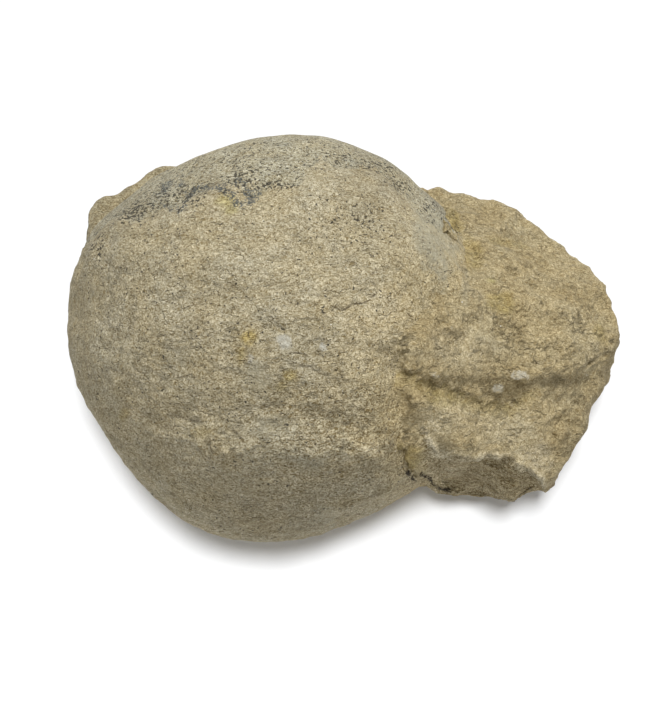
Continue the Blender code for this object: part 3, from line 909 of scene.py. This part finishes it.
def grainy(nodes, colour, amount):
    """Gives a colour a slow drift and the grains of sand; also returns the grains' value, 0 to 1.1."""
    drift = nodes.ramp(nodes.noise(5.5, detail=2.0, rough=0.6), 0.36, 0.64)
    colour = nodes.tinted(colour, nodes.mix(drift, (*WARM, 1), (*COOL, 1)))
    fine = nodes.cells(GRAIN_SIZE, nodes.tinted(nodes.bent, (0.65, 1.0, 1.0)))[1]
    clumps = nodes.noise(0.5, detail=2.0, rough=0.7)
    grain = nodes.plus(fine, nodes.times(clumps, GRAIN_CLUMPS))
    plain = nodes.math("MAXIMUM", nodes.value("grey"), nodes.value("white"))
    amount = nodes.times(nodes.ramp(plain, 0.0, 1.0, 1.0, PLAIN_GRAIN), amount)
    share = nodes.math("MULTIPLY_ADD", nodes.math("SUBTRACT", grain, GRAIN_MIDDLE), amount)
    share.node.inputs[2].default_value = 0.5
    darkest, lightest = nodes.tinted(colour, DARK_GRAIN), nodes.tinted(colour, LIGHT_GRAIN)
    return nodes.mix(share, darkest, lightest), grain


def chipped(nodes, size, slope):
    """Height in millimetres of a surface of little broken faces, drawn out along x."""
    drawn_out = nodes.tinted(nodes.bent, (0.55 / size, 1 / size, 1 / size))
    cells = nodes.add("ShaderNodeTexVoronoi", {"Vector": drawn_out, "Scale": 1.0})
    lean = nodes.vectors("SUBTRACT", cells.outputs["Color"], (0.5, 0.5, 0.5))
    away = nodes.vectors("SUBTRACT", drawn_out, cells.outputs["Position"])
    height = nodes.add("ShaderNodeVectorMath", {0: away, 1: lean}, operation="DOT_PRODUCT")
    return nodes.times(height.outputs["Value"], 2 * slope * size)


def flaky(nodes, colour, size, dark):
    """Draws the thin ragged edges of little flakes in a colour, partly painted shade at their drops; also
    returns the flakes' height.
    """
    level = nodes.noise(size, detail=3.5, rough=0.62, place=nodes.streaked)
    level = nodes.times(level, LEDGE_STEPS)
    fraction = nodes.math("FRACT", level)
    fall = nodes.ramp(fraction, 0.8, 1.0)
    here = nodes.ramp(nodes.noise(1.9, detail=1.0, rough=0.6), 0.44, 0.58)
    line = nodes.times(nodes.ramp(fraction, 0.82, 0.93), nodes.ramp(fraction, 1.0, 0.96))
    line = nodes.times(nodes.times(line, here), dark)
    height = nodes.math("SUBTRACT", nodes.plus(nodes.math("FLOOR", level), fall), level)
    return nodes.mix(line, colour, FLAKE_LINE_AND_SHADE), nodes.times(height, here)


def crack_line(nodes):
    """How dark the cracks' thin ragged lines are."""
    wobble = nodes.times(nodes.math("SUBTRACT", nodes.noise(0.8, detail=3.0, rough=0.6), 0.5), 0.6)
    across = nodes.math("ABSOLUTE", nodes.plus(nodes.value("across"), wobble))
    line = nodes.times(nodes.ramp(across, 0.14, 0.04), nodes.value("near"))
    return nodes.times(line, nodes.ramp(nodes.noise(1.2, detail=2.0), 0.36, 0.5))


def with_crevices(nodes, colour):
    """Paints the crevices black, as the shade in their gaps, with ragged edges."""
    ragged = nodes.times(nodes.noise(0.5, detail=5.0, rough=0.8, place=nodes.streaked), 2.6)
    black = nodes.ramp(nodes.plus(nodes.value("crevice"), ragged), 2.06, 2.24)
    return nodes.mix(black, colour, CREVICE_SHADE)


def with_marks(nodes, colour):
    """Lays the coloured marks and a few glints over a colour."""
    patchy = nodes.noise(0.9, detail=4.0, rough=0.65)
    for name, tint, most in (("grey", GREY, 0.75), ("ochre", OCHRE, 0.85), ("yellow", YELLOW, 0.75)):
        share = nodes.times(nodes.value(name), nodes.ramp(patchy, 0.3, 0.6, 0.45, 1.0))
        colour = nodes.mix(nodes.times(share, most), colour, tint)
    colour = nodes.mix(nodes.times(nodes.value("pale"), 0.65), colour, PALE)
    near_glint, chance = nodes.cells(GLINT_SPACING)
    chosen = nodes.math("GREATER_THAN", chance, 0.8)
    glint = nodes.times(nodes.ramp(near_glint, *GLINT_RADIUS), chosen)
    colour = nodes.mix(glint, colour, GLINT)
    clast = nodes.times(nodes.value("white"), 0.5)
    clast = nodes.ramp(nodes.plus(clast, nodes.noise(0.5, detail=4.0, rough=0.75)), 0.66, 1.08)
    return nodes.mix(clast, colour, WHITE)


def relief_height(nodes, grain, ledges, broken):
    """Height in millimetres of the finest relief: grains, flakes, and little broken faces."""
    height = nodes.times(grain, GRAIN_HEIGHT)
    height = nodes.plus(height, nodes.times(ledges, LEDGE_HEIGHT))
    large = chipped(nodes, size=1.5, slope=0.55 * broken)
    small = chipped(nodes, size=0.6, slope=0.8 * broken)
    uneven = nodes.times(nodes.noise(0.9, detail=3.0, rough=0.7), 0.4 * broken)
    faces = nodes.plus(nodes.plus(large, small), uneven)
    return nodes.plus(height, nodes.times(faces, nodes.value("rough")))


def mottled(nodes, slow, spread, dark, pale):
    """Two colours mixed by a slow noise, all dark or all pale where it is this far from its middle."""
    return nodes.mix(nodes.ramp(slow, 0.5 - spread, 0.5 + spread), dark, pale)


def with_hollows(nodes, colour):
    """Darkens the hollows of the relief a little."""
    return nodes.mix(nodes.ramp(nodes.value("relief"), -0.2, -1.0, 0.0, 0.12), colour, HOLLOW)


def shaded(nodes, colour):
    """Darkens a colour by the painted shade, and darker tone, kept on the mesh."""
    return nodes.scaled(colour, nodes.ramp(nodes.value("shade"), 0.0, 1.0, 1.0, SHADE))


def egg_material():
    """Sandy crust, and bare shell with black specks and bluish stains."""
    nodes = Nodes("egg_shell_and_crust")
    sand = mottled(nodes, nodes.noise(4.5, detail=4.0, rough=0.55), 0.14, SAND_DARK, SAND_PALE)
    shell = mottled(nodes, nodes.noise(2.2, detail=4.0, rough=0.6), 0.12, SHELL_GREY, SHELL)
    ragged = nodes.times(nodes.noise(0.7, detail=4.0, rough=0.7), 1.6)
    torn = nodes.plus(nodes.value("sandy"), ragged)
    colour = nodes.mix(nodes.ramp(torn, 1.1, 1.5), shell, sand)
    colour = nodes.mix(nodes.value("rocky"), with_hollows(nodes, colour), ROCK_PALE)
    colour = with_marks(nodes, shaded(nodes, colour))
    colour, grain = grainy(nodes, colour, nodes.ramp(nodes.value("coarse"), 0.0, 1.0, 0.95, 1.4))
    colour, ledges = flaky(nodes, colour, size=2.4, dark=0.3)
    thick = nodes.times(nodes.value("stain"), 0.25)
    stain = nodes.ramp(nodes.plus(thick, nodes.noise(0.6, detail=4.0, rough=0.85)), 0.60, 0.72)
    stain = nodes.times(stain, nodes.ramp(nodes.noise(0.3, detail=2.0, rough=0.6), 0.4, 0.52))
    colour = nodes.mix(nodes.times(stain, 0.9), colour, STAIN)
    thick = nodes.times(nodes.value("specks"), 0.13)
    dots = nodes.ramp(nodes.plus(thick, nodes.noise(0.42, detail=2.0, rough=0.55)), 0.66, 0.685)
    colour = nodes.mix(nodes.times(dots, 0.92), colour, BLACK_SPECK)
    colour = nodes.mix(nodes.times(crack_line(nodes), 0.75), colour, BROWN_CRACK)
    colour = with_crevices(nodes, colour)
    roughness = nodes.ramp(grain, 0.3, 1.3, 0.95, 0.75)
    return nodes.finish(colour, relief_height(nodes, grain, ledges, broken=0.27), roughness)


def rock_material():
    """Broken sandstone, ochre in its hollows."""
    nodes = Nodes("sandstone")
    colour = mottled(nodes, nodes.noise(6.0, detail=5.0, rough=0.6), 0.14, ROCK_DARK, ROCK_PALE)
    colour = with_marks(nodes, shaded(nodes, with_hollows(nodes, colour)))
    colour, grain = grainy(nodes, colour, nodes.ramp(nodes.value("coarse"), 0.0, 1.0, 0.75, 1.7))
    colour, ledges = flaky(nodes, colour, size=2.8, dark=0.12)
    colour = with_crevices(nodes, colour)
    roughness = nodes.ramp(grain, 0.3, 1.3, 0.97, 0.82)
    return nodes.finish(colour, relief_height(nodes, grain, ledges, broken=0.8), roughness)


def floor_material():
    """Plain white."""
    material = bpy.data.materials.new("floor")
    material.use_nodes = True
    shader = material.node_tree.nodes["Principled BSDF"]
    shader.inputs["Base Color"].default_value = FLOOR_WHITE
    shader.inputs["Roughness"].default_value = 1
    shader.inputs["Specular IOR Level"].default_value = 0
    return material


def dress(obj, material):
    """Gives every face of the object this material."""
    obj.data.materials.clear()
    obj.data.materials.append(material)
    obj.data.polygons.foreach_set("material_index", [0] * len(obj.data.polygons))


# ---- studio

# Here sizes and distances are in metres, and powers in watts.
FLOOR_SIZE = 8.0
LIT_HEIGHT = 0.02  # the lights look at the point this far over the frame's origin
LIGHT_DISTANCE = 1.2
KEY_DIRECTION = (0.16, 0.50, 0.85)  # from the piece towards the light that models it
KEY_SIZE = 0.6
KEY_POWER = 13.8
FLOOR_LIGHT_DIRECTION = (0.01, -0.062, 0.998)  # near the camera's: most of its shadow is out of sight
FLOOR_LIGHT_SIZE = 0.18
FLOOR_LIGHT_POWER = 12.2
AMBIENT = 0.36
AMBIENT_COLOUR = (1.0, 0.985, 0.96, 1)


def aim(obj, place, target):
    """Puts a camera or light at a place, looking at the target."""
    obj.location = place
    obj.rotation_euler = (target - place).to_track_quat("-Z", "Y").to_euler()


def make_camera():
    """The camera above the piece."""
    data = bpy.data.cameras.new("camera")
    data.lens = CAMERA_LENS
    data.sensor_width = SENSOR_WIDTH
    data.clip_start = 0.01
    camera = bpy.data.objects.new("camera", data)
    bpy.context.scene.collection.objects.link(camera)
    tilt = math.radians(CAMERA_TILT)
    target = Vector((CAMERA_TARGET + FOOT) * MM)
    back = Vector((0, -math.sin(tilt), math.cos(tilt)))
    aim(camera, target + back * CAMERA_DISTANCE, target)
    bpy.context.scene.camera = camera


def make_light(name, direction, size, power, lit):
    """A round soft light that lights only these objects, while everything still casts its shadow."""
    data = bpy.data.lights.new(name, "AREA")
    data.shape = "DISK"
    data.size = size
    data.energy = power
    light = bpy.data.objects.new(name, data)
    bpy.context.scene.collection.objects.link(light)
    middle = Vector((0, 0, LIT_HEIGHT))
    aim(light, middle + Vector(direction).normalized() * LIGHT_DISTANCE, middle)
    receivers = bpy.data.collections.new(name + "_lights")
    for obj in lit:
        receivers.objects.link(obj)
    light.light_linking.receiver_collection = receivers


def make_floor():
    """The white floor."""
    bpy.ops.mesh.primitive_plane_add(size=FLOOR_SIZE)
    floor = bpy.context.object
    floor.name = "floor"
    floor.data.materials.append(floor_material())
    return floor


def make_studio(pieces):
    """A white floor, a large soft light for the piece, one for the floor, and pale light all round."""
    floor = make_floor()
    make_light("key", KEY_DIRECTION, KEY_SIZE, KEY_POWER, pieces)
    make_light("floor_light", FLOOR_LIGHT_DIRECTION, FLOOR_LIGHT_SIZE, FLOOR_LIGHT_POWER, [floor])
    world = bpy.data.worlds.new("studio")
    bpy.context.scene.world = world
    world.use_nodes = True
    background = world.node_tree.nodes["Background"]
    background.inputs["Color"].default_value = AMBIENT_COLOUR
    background.inputs["Strength"].default_value = AMBIENT
    bpy.context.scene.view_settings.view_transform = "Standard"


# ---- assembly


make_camera()

egg = make_egg()
dress(egg, egg_material())
rock = make_rock()
dress(rock, rock_material())
for piece, node, slot in ((egg, "egg", "egg_shell_and_crust"), (rock, "matrix", "sandstone")):
    piece.data.shade_smooth()
    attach(piece, "root")
    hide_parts(node)
    print("PIECE", piece.name, sum(len(face.vertices) - 2 for face in piece.data.polygons), "triangles")

make_studio((egg, rock))
